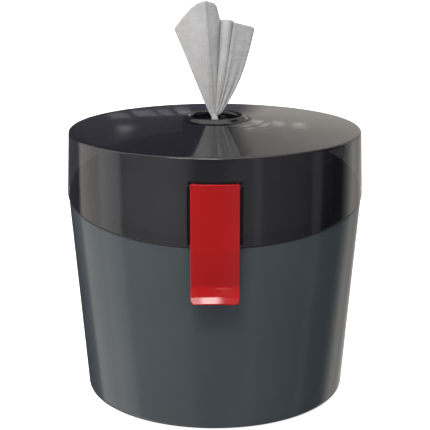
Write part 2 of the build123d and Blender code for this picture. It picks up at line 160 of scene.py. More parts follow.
HOOK_GAP = 0.4  # to the keeper and to the tub's wall
CHEEK_INSIDE = LATCH_WIDTH / 2 + 0.4
CHEEK_OUTSIDE = CHEEK_INSIDE + 2.2
CHEEK_ROUND = 2.2
CHEEK_CUT = 3.2
CHEEK_LIFT = 3.0  # above the lid's edge
CHEEK_ROOT = COLLAR_BORE + 2.6
CHEEK_FRONT = LATCH_Y + 0.6 - CHEEK_ROUND
CHEEK_SLOPE = 0.1
KEEPER_FOOT = 137.0
KEEPER_HEIGHT = 14.0
KEEPER_WIDTH = 24.0
KEEPER_SLOPE = 0.16
KEEPER_ROOT = 2.0  # sunk into the tub's wall

# Paper roll
ROLL_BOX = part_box("paper_roll")
ROLL_HOLLOW = 32.0
ROLL_LEAD = 0.8  # from the hollow to the first turn
ROLL_CORNER = 1.5
ROLL_TURNS = 46
TURN_SINK = 0.45  # of the turns below the roll's top
TURN_WAVE = 0.5
TURN_STEP = 0.3
TURN_WOBBLE = 0.25

# Towel's loose end, which narrows to a pleated strand at the outlet
TOWEL_FOOT = 235.0
TOWEL_HEIGHT = 99.0
TOWEL_STRAND = 75.0
TOWEL_GATHER = 0.065  # share of the fan's width that is left at its foot
TOWEL_NECK = 5.0  # the strand opens into the fan over this height
TOWEL_BULGE = 0.12  # outward bulge of the right side
BULGE_START = 4.0
BULGE_SPAN = 26.0
BULGE_TOP = 76.0
TOWEL_THICKNESS = 0.35
TOWEL_ACROSS = 400
TOWEL_UP = 56
TOWEL_DOWN = 20
PLEATS = 40
PLEAT_DEPTH = 0.35
PLEAT_EXTRA = 1.15  # more depth at the foot
PLEAT_START = 20.0  # the pleats reach their depth at this height
BILLOW = 1.1
STRAND_RADIUS = 1.45
STRAND_PLEAT = 1.2
STRAND_TWIST = 0.012  # radians per millimetre

# Folds of the fan at full height, from the left round to the back: (x, y, edge's rise)
TOWEL_FOLDS = [
    (-44.0, 4.0, 75.0),
    (-31.0, -3.0, 85.0),
    (-18.0, -8.0, 95.5),
    (-10.5, -9.3, 98.6),
    (-8.0, -9.2, 99.0),
    (-5.8, -7.2, 98.6),
    (0.5, -2.6, 95.5),
    (4.2, 3.0, 84.5),
    (5.5, 6.5, 82.0),
    (7.5, -1.0, 83.0),
    (11.0, -6.0, 83.8),
    (16.0, -6.0, 83.0),
    (18.3, -1.8, 81.5),
    (21.0, -3.2, 80.8),
    (41.5, 5.5, 75.8),
    (36.0, 11.0, 72.0),
    (14.0, 12.5, 79.0),
    (-8.0, 11.0, 86.0),
    (-27.0, 14.0, 80.0),
]

# Studio round the object, which the gloss mirrors: (degrees from the front, to the right; colour)
STUDIO = [
    (-180, (0.06, 0.06, 0.08)),
    (-168, (0.06, 0.06, 0.08)),
    (-150, (0.07, 0.07, 0.09)),
    (-130, (0.12, 0.12, 0.14)),
    (-126, (1.25, 1.22, 1.16)),
    (-100, (1.50, 1.47, 1.41)),
    (-97, (1.90, 1.88, 1.86)),
    (-93, (1.90, 1.86, 1.88)),
    (-78, (1.60, 1.56, 1.60)),
    (-75, (0.66, 0.64, 0.70)),
    (-68, (0.85, 0.83, 0.88)),
    (-36, (1.02, 1.00, 1.05)),
    (-22, (0.84, 0.81, 0.86)),
    (-15, (0.36, 0.35, 0.38)),
    (5, (0.34, 0.33, 0.37)),
    (13, (0.50, 0.49, 0.55)),
    (28, (0.56, 0.56, 0.62)),
    (33, (0.86, 0.86, 0.93)),
    (37, (0.50, 0.50, 0.56)),
    (70, (0.31, 0.31, 0.36)),
    (78, (0.22, 0.22, 0.26)),
    (81, (0.46, 0.46, 0.52)),
    (87, (0.42, 0.42, 0.47)),
    (91, (0.08, 0.08, 0.10)),
    (114, (0.06, 0.06, 0.07)),
    (123, (0.50, 0.49, 0.47)),
    (132, (1.05, 1.00, 0.93)),
    (146, (0.52, 0.50, 0.46)),
    (168, (0.72, 0.685, 0.63)),
    (177.6, (0.50, 0.47, 0.43)),
    (178.4, (0.10, 0.10, 0.11)),
]
CEILING = 2.05  # brightness overhead
CEILING_START = 0.80  # sine of the rise where the ceiling begins
CEILING_FULL = 0.92

# A large soft key and two small strips for the latch's highlights, in metres and watts:
# (name, place, aim, width, height, power)
LIGHTS = [
    ("key_softbox", (-0.36, -1.05, 1.60), (0, -0.1, 0.15), 1.0, 0.4, 10.5),
    ("front_strip", (0.17, -1.5, 1.0), (0, -0.12, 0.16), 0.28, 0.12, 0.5),
    ("foot_strip", (-0.09, -0.95, 1.41), (0, -0.13, 0.12), 0.30, 0.14, 2.2),
]

# Dim windows behind the object, which the lid's top mirrors:
# (degrees from the front, degrees up, width and height in degrees, brightness)
WINDOWS = [
    (176.6, 16.0, 0.9, 4.0, 0.5),
    (175.4, 13.2, 0.8, 3.4, 0.7),
    (174.2, 11.8, 0.7, 3.0, 0.6),
    (172.9, 11.2, 0.7, 2.6, 0.6),
    (-177.6, 2.6, 1.0, 2.0, 0.35),
    (-176.2, 3.4, 0.8, 2.0, 0.25),
    (-174.8, 4.0, 1.4, 2.4, 0.20),
    (-173.0, 5.0, 1.2, 2.4, 0.16),
    (-172.4, 13.0, 0.9, 4.0, 0.30),
]
WINDOW_REACH = 3.0  # metres from the object
WINDOW_AIM = 0.23  # metres up, where the panes are aimed

SMOKE = (0.006, 0.0055, 0.0075)  # colour of the lid's plastic


def new_material(name, colour, roughness, **sockets):
    """A material whose shader's own sockets hold its constant values."""
    material = bpy.data.materials.new(name)
    material.use_nodes = True
    shader = shader_of(material)
    shader.inputs["Base Color"].default_value = (*colour, 1.0)
    shader.inputs["Roughness"].default_value = roughness
    for socket, value in sockets.items():
        shader.inputs[socket.replace("_", " ")].default_value = value
    return material


def shader_of(material):
    return material.node_tree.nodes["Principled BSDF"]


def node(owner, kind, **values):
    """A new shader node of a material or world. Names of inputs use _ for a space."""
    made = owner.node_tree.nodes.new(kind)
    for key, value in values.items():
        made.inputs[key.replace("_", " ")].default_value = value
    return made


def link(owner, source, target):
    owner.node_tree.links.new(source, target)


def object_place(material, scale=(1, 1, 1)):
    """Object coordinates, stretched by scale."""
    place = node(material, "ShaderNodeTexCoord")
    mapping = node(material, "ShaderNodeMapping", Scale=scale)
    link(material, place.outputs["Object"], mapping.inputs["Vector"])
    return mapping.outputs["Vector"]


def noise_of(material, place, scale, detail=3.0, rough=0.5):
    made = node(material, "ShaderNodeTexNoise", Scale=scale, Detail=detail, Roughness=rough)
    link(material, place, made.inputs["Vector"])
    return made.outputs["Fac"]


def vary_colour(material, factor, dark, light, low=0.3, high=0.7):
    """Base colour runs from dark to light with the factor."""
    ramp = node(material, "ShaderNodeValToRGB")
    ramp.color_ramp.elements[0].position = low
    ramp.color_ramp.elements[1].position = high
    ramp.color_ramp.elements[0].color = (*dark, 1)
    ramp.color_ramp.elements[1].color = (*light, 1)
    link(material, factor, ramp.inputs["Fac"])
    link(material, ramp.outputs["Color"], shader_of(material).inputs["Base Color"])


def vary_roughness(material, factor, low, high):
    span = node(material, "ShaderNodeMapRange", To_Min=low, To_Max=high)
    link(material, factor, span.inputs["Value"])
    link(material, span.outputs["Result"], shader_of(material).inputs["Roughness"])


def add_bump(material, height, strength, distance, under=None):
    """A bump from a height. Give the bump that lies under it to stack two."""
    bump = node(material, "ShaderNodeBump", Strength=strength, Distance=distance)
    link(material, height, bump.inputs["Height"])
    if under is not None:
        link(material, under, bump.inputs["Normal"])
    link(material, bump.outputs["Normal"], shader_of(material).inputs["Normal"])
    return bump.outputs["Normal"]


def tinted(colour, share):
    return tuple(c * share for c in colour)


def moulded(name, colour, roughness, grain=0.02, **sockets):
    """Moulded plastic: faint flow mottling, uneven gloss and a fine surface grain."""
    material = new_material(name, colour, roughness, **sockets)
    place = object_place(material)
    flow = noise_of(material, place, 18, 4)
    vary_colour(material, flow, tinted(colour, 0.93), tinted(colour, 1.06))
    vary_roughness(material, noise_of(material, place, 55, 5), roughness * 0.85, roughness * 1.15)
    add_bump(material, noise_of(material, place, 1500, 2), grain, 0.0002)
    return material


def smoked(name, alpha, colour=SMOKE, roughness=0.085, **sockets):
    """Tinted see-through plastic with the slow ripple of a moulded sheet."""
    material = new_material(name, colour, roughness, Alpha=alpha, IOR=1.52, **sockets)
    place = object_place(material)
    vary_colour(material, noise_of(material, place, 9, 2), tinted(colour, 0.9), tinted(colour, 1.1))
    vary_roughness(material, noise_of(material, place, 70, 4), roughness * 0.7, roughness * 1.6)
    add_bump(material, noise_of(material, place, 30, 1), 1.0, 0.0002)
    return material


def rubber(name, colour):
    """Matt rubber, a little dusty."""
    material = new_material(name, colour, 0.7)
    place = object_place(material)
    vary_colour(material, noise_of(material, place, 60, 4), tinted(colour, 0.8), tinted(colour, 1.3))
    add_bump(material, noise_of(material, place, 900, 3), 0.15, 0.0003)
    return material


def drawn_steel(name):
    """Bright steel with fine marks along the pin."""
    material = new_material(name, (0.55, 0.55, 0.56), 0.3, Metallic=1.0)
    place = object_place(material, (40, 900, 900))
    vary_roughness(material, noise_of(material, place, 1, 3), 0.22, 0.42)
    return material


def crepe_paper(name, colour, ridge, crinkle):
    """Soft paper: fibres, fine crepe ridges across the sheet, broad crinkles and faint mottling."""
    material = new_material(name, colour, 0.92, Specular_IOR_Level=0.15)
    place = object_place(material)
    vary_colour(material, noise_of(material, place, 220, 5), tinted(colour, 0.93), tinted(colour, 1.04))
    crinkles = noise_of(material, object_place(material, (110, 110, 190)), 1, 2)
    broad = add_bump(material, crinkles, 0.6, crinkle)
    ridges = noise_of(material, object_place(material, ridge), 1, 3)
    under = add_bump(material, ridges, 0.35, 0.0006, broad)
    add_bump(material, noise_of(material, place, 1600, 3), 0.2, 0.0003, under)
    return material


def make_camera():
    data = bpy.data.cameras.new("camera")
    data.lens = CAMERA_LENS
    data.sensor_width = 36
    camera = bpy.data.objects.new("camera", data)
    camera.location = CAMERA_PLACE
    camera.rotation_euler = (CAMERA_AIM - CAMERA_PLACE).to_track_quat("-Z", "Y").to_euler()
    bpy.context.scene.collection.objects.link(camera)
    bpy.context.scene.camera = camera


def make_floor():
    """A pale floor that reaches past the view. The object's gloss mirrors the studio, not the floor."""
    corners = [(x * FLOOR_REACH, y * FLOOR_REACH, 0) for x, y in ((-1, -1), (1, -1), (1, 1), (-1, 1))]
    mesh = bpy.data.meshes.new("floor")
    mesh.from_pydata(corners, [], [(0, 1, 2, 3)])
    material = new_material("floor_white", (0.85, 0.85, 0.85), 0.9)
    shader_of(material).inputs["Emission Color"].default_value = (1, 1, 1, 1)
    shader_of(material).inputs["Emission Strength"].default_value = 0.9
    mesh.materials.append(material)
    floor = bpy.data.objects.new("floor", mesh)
    bpy.context.scene.collection.objects.link(floor)
    floor.visible_glossy = False
    floor.visible_diffuse = False


def area_light(name, place, aim, width, height, power):
    data = bpy.data.lights.new(name, "AREA")
    data.shape = "RECTANGLE"
    data.size = width
    data.size_y = height
    data.energy = power
    light = bpy.data.objects.new(name, data)
    light.location = place
    light.rotation_euler = (Vector(aim) - Vector(place)).to_track_quat("-Z", "Y").to_euler()
    bpy.context.scene.collection.objects.link(light)


def window(degrees, rise, wide, tall, brightness):
    """A small dim window that the lid's top mirrors."""
    level = WINDOW_REACH * cos(radians(rise))
    x = level * sin(radians(degrees))
    y = -level * cos(radians(degrees))
    z = WINDOW_AIM + WINDOW_REACH * sin(radians(rise))
    width = WINDOW_REACH * radians(wide)
    height = WINDOW_REACH * radians(tall)
    area_light("window", (x, y, z), (0, 0, WINDOW_AIM), width, height, pi * width * height * brightness)


def make_world():
    """A world of upright soft panels all round, with soft light from above."""
    world = bpy.data.worlds.new("studio")
    world.use_nodes = True
    place = node(world, "ShaderNodeTexCoord")
    parts = node(world, "ShaderNodeSeparateXYZ")
    link(world, place.outputs["Generated"], parts.inputs["Vector"])
    front = node(world, "ShaderNodeMath")
    front.operation = "MULTIPLY"
    front.inputs[1].default_value = -1
    link(world, parts.outputs["Y"], front.inputs[0])
    azimuth = node(world, "ShaderNodeMath")
    azimuth.operation = "ARCTAN2"
    link(world, parts.outputs["X"], azimuth.inputs[0])
    link(world, front.outputs["Value"], azimuth.inputs[1])
    share = node(world, "ShaderNodeMapRange", From_Min=-pi, From_Max=pi)
    link(world, azimuth.outputs["Value"], share.inputs["Value"])
    panels = node(world, "ShaderNodeValToRGB")
    link(world, share.outputs["Result"], panels.inputs["Fac"])
    ramp = panels.color_ramp
    while len(ramp.elements) < len(STUDIO):
        ramp.elements.new(0.5)
    for element, (angle, colour) in zip(ramp.elements, STUDIO):
        element.position = (angle + 180) / 360
        element.color = (*colour, 1)
    up = node(world, "ShaderNodeMapRange", From_Min=CEILING_START, From_Max=CEILING_FULL)
    link(world, parts.outputs["Z"], up.inputs["Value"])
    mix = node(world, "ShaderNodeMix")
    mix.data_type = "RGBA"
    link(world, up.outputs["Result"], mix.inputs["Factor"])
    link(world, panels.outputs["Color"], mix.inputs["A"])
    mix.inputs["B"].default_value = (CEILING, CEILING, CEILING, 1)
    link(world, mix.outputs["Result"], world.node_tree.nodes["Background"].inputs["Color"])
    bpy.context.scene.world = world


def make_studio():
    """The world, the lights and the windows."""
    make_world()
    for light in LIGHTS:
        area_light(*light)
    for pane in WINDOWS:
        window(*pane)


def finish_piece(name, mesh, body, material, replaced=(), sharp=32):
    """Link a mesh as a piece that rides on a body, smooth but for its sharp edges."""
    mesh.validate()
    mesh.shade_smooth()
    mesh.set_sharp_from_angle(angle=radians(sharp))
    mesh.materials.append(material)
    piece = bpy.data.objects.new(name, mesh)
    bpy.context.scene.collection.objects.link(piece)
    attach(piece, body)
    if replaced:
        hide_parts(*replaced)
    return piece


def round_edges(piece, width, segments=3, angle=40):
    """Round a piece's sharp edges by a width in millimetres."""
    bevel = piece.modifiers.new("rounded_edges", "BEVEL")
    bevel.width = width * MM
    bevel.segments = segments
    bevel.limit_method = "ANGLE"
    bevel.angle_limit = radians(angle)


def mesh_of(name, shape):
    """A mesh from a bmesh, with its faces turned outward. The bmesh is freed."""
    bmesh.ops.recalc_face_normals(shape, faces=shape.faces)
    mesh = bpy.data.meshes.new(name)
    shape.to_mesh(mesh)
    shape.free()
    return mesh


def smooth(value):
    """Ease from 0 to 1."""
    value = min(max(value, 0.0), 1.0)
    return value * value * (3 - 2 * value)


def arc(centre, radius, first, last, steps=12):
    """Points on an arc from one angle to another, in degrees."""
    span = [radians(first + (last - first) * step / steps) for step in range(steps + 1)]
    return [(centre[0] + radius * cos(angle), centre[1] + radius * sin(angle)) for angle in span]


def rounded(corners, steps=6, closed=True):
    """Rings from (radius, height, slant, corner radius) corners, with an arc at each corner."""
    rings = []
    for index, (radius, height, slant, corner) in enumerate(corners):
        end = not closed and index in (0, len(corners) - 1)
        if not corner or end:
            rings.append((radius, height, slant))
            continue
        here = Vector((radius, height))
        to_last = (Vector(corners[index - 1][:2]) - here).normalized()
        to_next = (Vector(corners[(index + 1) % len(corners)][:2]) - here).normalized()
        half = to_last.angle(to_next) / 2
        middle = here + (to_last + to_next).normalized() * (corner / sin(half))
        start = here + to_last * (corner / tan(half)) - middle
        stop = here + to_next * (corner / tan(half)) - middle
        first = math.atan2(start.y, start.x)
        turn = (math.atan2(stop.y, stop.x) - first + pi) % (2 * pi) - pi
        for step in range(steps + 1):
            angle = first + turn * step / steps
            rings.append((middle.x + corner * cos(angle), middle.y + corner * sin(angle), slant))
    return rings


def ring_mesh(name, rings, closed=True, wobble=None):
    """A surface through rings of (radius, height, slant). A slant of 1 follows the seam."""
    count = len(rings)
    verts = []
    for index, (radius, height, slant) in enumerate(rings):
        for turn in range(SEGMENTS):
            angle = 2 * pi * turn / SEGMENTS
            reach = radius + (wobble(index, angle) if wobble else 0)
            x = reach * cos(angle)
            y = reach * sin(angle)
            verts.append((x * MM, y * MM, (height + slant * TILT * y) * MM))
    faces = []
    for index in range(count if closed else count - 1):
        low = index * SEGMENTS
        high = (index + 1) % count * SEGMENTS
        for turn in range(SEGMENTS):
            after = (turn + 1) % SEGMENTS
            faces.append((low + turn, low + after, high + after, high + turn))
    if not closed:
        faces.append(tuple(reversed(range(SEGMENTS))))
        faces.append(tuple(range((count - 1) * SEGMENTS, count * SEGMENTS)))
    mesh = bpy.data.meshes.new(name)
    mesh.from_pydata(verts, [], faces)
    return mesh


def prism(shape, outline, low_x, high_x):
    """Add a bar along X to a bmesh, from an outline of (y, z) points."""
    low = [shape.verts.new((low_x * MM, y * MM, z * MM)) for y, z in outline]
    high = [shape.verts.new((high_x * MM, y * MM, z * MM)) for y, z in outline]
    shape.faces.new(low)
    shape.faces.new(list(reversed(high)))
    for index in range(len(outline)):
        after = (index + 1) % len(outline)
        shape.faces.new((low[after], low[index], high[index], high[after]))


def bars_piece(name, bars, body, material, edge=0.4):
    """One piece made of bars along X, (outline, low x, high x), with rounded edges."""
    shape = bmesh.new()
    for outline, low_x, high_x in bars:
        prism(shape, outline, low_x, high_x)
    piece = finish_piece(name, mesh_of(name, shape), body, material)
    round_edges(piece, edge)


def tub_front(height):
    """Radius of the tub's outside at the front."""
    return BASE_RADIUS + (height - BASE) / (SEAM_FRONT - BASE) * (TUB_RADIUS - BASE_RADIUS)


def make_tub(material):
    """The tub's shell, from its base up to the collar and down to the floor inside."""
    corners = [
        (DISC_RADIUS, BASE, 0, 0),
        (BASE_RADIUS, BASE, 0, BASE_ROUND),
        (TUB_RADIUS, SEAM, 1, EDGE_ROUND),
        (COLLAR_RADIUS, SEAM, 1, CREASE_ROUND),
        (COLLAR_RADIUS, SEAM + COLLAR_RISE, 1, COLLAR_ROUND),
        (COLLAR_BORE, SEAM + COLLAR_RISE, 1, COLLAR_ROUND),
        (COLLAR_BORE, SEAM - BAND_DEPTH, 1, EDGE_ROUND),
        (TUB_RADIUS - WALL - MOUTH_STEP, SEAM - BAND_DEPTH - BAND_TAPER, 1, EDGE_ROUND),
        (BASE_RADIUS - WALL, FLOOR, 0, FLOOR_ROUND),
        (DISC_RADIUS, FLOOR, 0, 0),
    ]
    mesh = ring_mesh("tub_shell", rounded(corners, closed=False), closed=False)
    finish_piece("tub_shell", mesh, "root", material, ["tub"])


def make_tub_knuckles(material):
    """The tub's two hinge knuckles, on webs that run down its back."""
    middle = (KNUCKLE_SPAN - TUB_KNUCKLE) / 2
    web = [
        *arc((HINGE_Y, HINGE_Z), KNUCKLE_RADIUS, -90, 180, 24),
        (HINGE_ROOT, HINGE_Z),
        (HINGE_ROOT, HINGE_Z - HINGE_WEB),
    ]
    bars = [(web, side * middle - TUB_KNUCKLE / 2, side * middle + TUB_KNUCKLE / 2) for side in (-1, 1)]
    bars_piece("tub_knuckles", bars, "root", material)


def make_keeper(material):
    """The ramp on the tub's front that the latch's hook snaps under."""
    low = tub_front(KEEPER_FOOT)
    high = low + KEEPER_SLOPE * KEEPER_HEIGHT
    top = KEEPER_FOOT + KEEPER_HEIGHT
    root = low - KEEPER_ROOT
    ramp = [(-root, KEEPER_FOOT), (-low, KEEPER_FOOT), (-high, top), (-root, top)]
    bars_piece("latch_keeper", [(ramp, -KEEPER_WIDTH / 2, KEEPER_WIDTH / 2)], "root", material)


def lid_slope():
    """Corners down the lid's top, from the rim in to the seat, with the faint ripple of the moulding."""
    corners = []
    start = RIM_RADIUS - CONE_START
    for step in range(1, CONE_STEPS + 1):
        radius = start + (SEAT_RADIUS - RIM_RADIUS + CONE_START) * step / CONE_STEPS
        inward = radius - SEAT_RADIUS
        level = SEAT - (SEAT - RIM) * inward / (RIM_RADIUS - SEAT_RADIUS)
        ripple = RIPPLE_HEIGHT * math.exp(-inward / RIPPLE_FADE) * sin(2 * pi * inward / RIPPLE_LENGTH)
        corners.append((radius, level + ripple, 0, 0))
    return corners


def lid_slot(face):
    """Which of the lid's materials a face wears: 0 outside, 1 rim, 2 inside, 3 top."""
    on_wall = face.center.xy.length / MM > RIM_RADIUS - RIM_BAND
    outward = face.normal.xy.dot(face.center.xy.normalized()) if on_wall else face.normal.z
    if outward < 0:
        return 2
    if not on_wall:
        return 3
    if RIM - face.center.z / MM < RIM_DEPTH:
        return 1
    return 0


def make_lid(materials):
    """The tinted lid's shell. Its outside, rim, inside and top each let a different share of light by."""
    edge = SEAM + LID_LIFT
    hole = BARREL_RADIUS + BARREL_PLAY
    corners = [
        (LID_RADIUS, edge, 1, EDGE_ROUND),
        (RIM_RADIUS, RIM, 0, RIM_ROUND),
        *lid_slope(),
        (hole, SEAT, 0, CREASE_ROUND),
        (hole, SEAT - WALL, 0, CREASE_ROUND),
        (SEAT_RADIUS, SEAT - WALL, 0, SEAT_BEND),
        (RIM_RADIUS - WALL, RIM - WALL, 0, RIM_ROUND_INSIDE),
        (LID_RADIUS - WALL, edge, 1, LID_FOOT_ROUND),
    ]
    mesh = ring_mesh("lid_shell", rounded(corners))
    finish_piece("lid_shell", mesh, "lid", materials[0], ["lid"])
    for material in materials[1:]:
        mesh.materials.append(material)
    for face in mesh.polygons:
        face.material_index = lid_slot(face)


def make_lid_knuckle(material):
    """The lid's hinge knuckle, on an arm from the back of its wall."""
    edge = SEAM_BACK + LID_LIFT + HINGE_PLAY
    root = COLLAR_BORE + WALL
    arm = [
        (root, edge),
        (root, edge + LID_WEB),
        *arc((HINGE_Y, HINGE_Z), KNUCKLE_RADIUS, 55, -180, 24),
        (HINGE_Y - KNUCKLE_RADIUS, edge),
    ]
    bars_piece("lid_knuckle", [(arm, -LID_KNUCKLE / 2, LID_KNUCKLE / 2)], "lid", material, edge=0.6)


def make_cheeks(material):
    """The two upright fins beside the latch, which carry its pin."""
    foot = SEAM_FRONT + LID_LIFT + CHEEK_LIFT
    fin = [
        (-CHEEK_ROOT, foot),
        (CHEEK_FRONT + CHEEK_CUT, foot),
        (CHEEK_FRONT, foot + CHEEK_CUT),
        *arc((CHEEK_FRONT + CHEEK_ROUND, LATCH_Z), CHEEK_ROUND, 180, 90, 8),
        (-CHEEK_ROOT, LATCH_Z + CHEEK_ROUND + CHEEK_SLOPE),
    ]
    bars = [(fin, -CHEEK_OUTSIDE, -CHEEK_INSIDE), (fin, CHEEK_INSIDE, CHEEK_OUTSIDE)]
    bars_piece("latch_cheeks", bars, "lid", material, edge=0.5)


def make_nozzle(material):
    """Flanged barrel with a rolled lip and a funnel floor."""
    lip = arc((OUTLET_RADIUS + LIP_ROUND, SEAT + LIP_FOOT), LIP_ROUND, 180, 95)
    rings = [(radius, height, 0) for radius, height in lip]
    for step in range(LIP_STEPS, -1, -1):
        share = step / LIP_STEPS
        rise = FLANGE_EDGE + (LIP_RISE - FLANGE_EDGE) * smooth(share)
        rings.append((NOZZLE_RADIUS - LIP_SLOPE * share, SEAT + rise, 0))
    rings += [
        (BARREL_RADIUS, SEAT + FLANGE_GAP, 0),
        (BARREL_RADIUS, BARREL_FOOT, 0),
        (OUTLET_RADIUS, BARREL_FOOT, 0),
        (OUTLET_RADIUS, FUNNEL_FOOT, 0),
        (THROAT_RADIUS, FUNNEL_FOOT, 0),
        (THROAT_RADIUS, FUNNEL_FOOT + THROAT_DEPTH, 0),
        (THROAT_RADIUS + FUNNEL_EDGE, FUNNEL_FOOT + THROAT_DEPTH + FUNNEL_EDGE, 0),
        (OUTLET_RADIUS - FUNNEL_INSET, FUNNEL_FOOT + FUNNEL_RISE - FUNNEL_EDGE, 0),
        (OUTLET_RADIUS, FUNNEL_FOOT + FUNNEL_RISE, 0),
    ]
    finish_piece("nozzle", ring_mesh("nozzle", rings), "lid", material, ["outlet_nozzle"])


def roll_top(radius, top):
    """Rings across the roll's top, one for each turn of paper, a little uneven."""
    rings = []
    inner = ROLL_HOLLOW + ROLL_LEAD
    outer = radius - ROLL_CORNER
    for index in range(ROLL_TURNS + 1):
        reach = inner + index / ROLL_TURNS * (outer - inner)
        dip = TURN_SINK + TURN_WAVE * noise.noise(Vector((reach * 0.9, 0, 0)))
        if index % 2:
            dip += TURN_STEP
        rings.append((reach, top - dip, 0))
    return rings


def roll_wobble(index, angle):
    """How far a turn of the roll strays from round. The hollow and the outside stay round."""
    if not ROLL_TURNS > index > 6:
        return 0.0
    return TURN_WOBBLE * noise.noise(Vector((3 * cos(angle), 3 * sin(angle), index * 0.7)))


def make_roll(material):
    """Roll of towel on end."""
    low, high = ROLL_BOX
    radius = high[0] / MM
    foot = low[2] / MM
    top = high[2] / MM
    rings = [
        *roll_top(radius, top),
        (radius - 0.5, top - 1.0, 0),
        (radius, top - 2.2, 0),
        (radius, foot + 2.0, 0),
        (radius - ROLL_CORNER, foot, 0),
        (ROLL_HOLLOW + 1.0, foot, 0),
        (ROLL_HOLLOW, foot + 1.0, 0),
        (ROLL_HOLLOW, top - 1.2, 0),
    ]
    rings.reverse()
    mesh = ring_mesh("roll", rings, wobble=roll_wobble)
    finish_piece("roll", mesh, "root", material, ["paper_roll"])


def smooth_path(points, radii, step):
    """Stations (y, z, outward y, outward z) along a path with rounded corners."""
    line = []
    for index, (point, radius) in enumerate(zip(points, radii)):
        here = Vector(point)
        if not radius:
            line.append(here)
            continue
        to_last = (Vector(points[index - 1]) - here).normalized()
        to_next = (Vector(points[index + 1]) - here).normalized()
        reach = radius / tan(to_last.angle(to_next) / 2)
        start = here + to_last * reach
        stop = here + to_next * reach
        for part in range(9):
            share = part / 8
            line.append(start * (1 - share) ** 2 + here * 2 * share * (1 - share) + stop * share**2)
    dense = [line[0]]
    for first, second in zip(line, line[1:]):
        pieces = max(1, int((second - first).length / step))
        dense += [first.lerp(second, part / pieces) for part in range(1, pieces + 1)]
    stations = []
    for index, point in enumerate(dense):
        along = (dense[min(index + 1, len(dense) - 1)] - dense[max(index - 1, 0)]).normalized()
        stations.append((point.x, point.y, along.y, -along.x))
    return stations


def corner_inset(distance, corner):
    """How far a rounded corner draws the latch's side in, at a distance from its end."""
    if distance >= corner:
        return 0.0
    return corner - math.sqrt(max(corner**2 - (corner - distance) ** 2, 0.0))


def latch_section(shape, half, flange, station):
    """One section across the latch: crowned face, rounded edges and stiffening flanges behind."""
    y, z, out_y, out_z = station
    face_steps = 20
    section = []
    for step in range(face_steps + 1):
        x = -half + 2 * half * step / face_steps
        section.append((x, LATCH_CROWN * (x / (LATCH_WIDTH / 2)) ** 2))
    edge = LATCH_CROWN * (half / (LATCH_WIDTH / 2)) ** 2
    behind = edge + LATCH_PLATE + flange
    inside = half - FLANGE_WIDTH
    section += [
        (half, behind),
        (inside, behind - 0.2),
        (inside - FLANGE_DRAFT, LATCH_PLATE + edge * 0.75),
        (half * 0.5, LATCH_PLATE + edge * 0.25),
        (0.0, LATCH_PLATE),
        (-half * 0.5, LATCH_PLATE + edge * 0.25),
        (-inside + FLANGE_DRAFT, LATCH_PLATE + edge * 0.75),
        (-inside, behind - 0.2),
        (-half, behind),
    ]
    made = []
    for x, depth in section:
        spot = (x * MM, (y - out_y * depth) * MM, (z - out_z * depth) * MM)
        made.append(shape.verts.new(spot))
    return made


def make_latch(material):
    """Pull latch: a curved plate that kinks at the seam and flares to a finger lip."""
    path = [
        (LATCH_FACE, LATCH_TOP),
        (LATCH_FACE, SEAM_FRONT),
        (LATCH_FACE + LATCH_LEAN, LATCH_CREASE),
        (LATCH_FACE - LIP_KNEE_OUT, LATCH_FOOT + LIP_KNEE),
        (LATCH_FACE - LIP_OUT, LATCH_FOOT),
    ]
    shape = bmesh.new()
    loops = []
    for station in smooth_path(path, LATCH_BENDS, LATCH_STEP):
        z = station[1]
        half = LATCH_WIDTH / 2 - corner_inset(z - LATCH_FOOT, FOOT_CORNER)
        half -= corner_inset(LATCH_TOP - z, TOP_CORNER)
        flange = LATCH_FLANGE * min(max((z - LATCH_CREASE - 1) / FLANGE_RAMP, 0.0), 1.0)
        loops.append(latch_section(shape, half, flange, station))
    for first, second in zip(loops, loops[1:]):
        for index in range(len(first)):
            after = (index + 1) % len(first)
            shape.faces.new((first[index], first[after], second[after], second[index]))
    shape.faces.new(loops[0])
    shape.faces.new(list(reversed(loops[-1])))
    mesh = mesh_of("latch_plate", shape)
    piece = finish_piece("latch_plate", mesh, "latch", material, ["latch"], sharp=45)
    round_edges(piece, 0.5, angle=50)


def make_latch_back(material):
    """The barrel round the latch's pin, and the hook that snaps under the keeper."""
    barrel = arc((LATCH_Y, LATCH_Z), LATCH_BARREL, 0, 345, 23)
    side = LATCH_WIDTH / 2 - 0.1
    top = KEEPER_FOOT - HOOK_GAP
    tip = -(tub_front(top) + HOOK_GAP)
    hook = [(HOOK_ROOT, top - HOOK_DEPTH), (HOOK_ROOT, top), (tip, top), (tip, top - HOOK_TIP)]
    bars = [(barrel, -side, side), (hook, -HOOK_WIDTH / 2, HOOK_WIDTH / 2)]
    bars_piece("latch_barrel_and_hook", bars, "latch", material)


def spline(points, count):
    """Catmull-Rom curve through points, as count + 1 evenly spread parameters."""
    found = []
    last = len(points) - 1
    for step in range(count + 1):
        at = last * step / count
        index = min(int(at), last - 1)
        share = at - index
        a, b, c, d = (Vector(points[min(max(index + k, 0), last)]) for k in (-1, 0, 1, 2))
        bend = 2 * a - 5 * b + 4 * c - d
        twist = 3 * b - a - 3 * c + d
        found.append(0.5 * (2 * b + (c - a) * share + bend * share**2 + twist * share**3))
    return found


def strand_point(u, height):
    """A point of the pleated strand that the towel is drawn into at its foot."""
    reach = STRAND_RADIUS + STRAND_PLEAT * cos(2 * pi * PLEATS * u)
    angle = pi + 2 * pi * u + STRAND_TWIST * height
    return Vector((reach * cos(angle), reach * sin(angle), height))


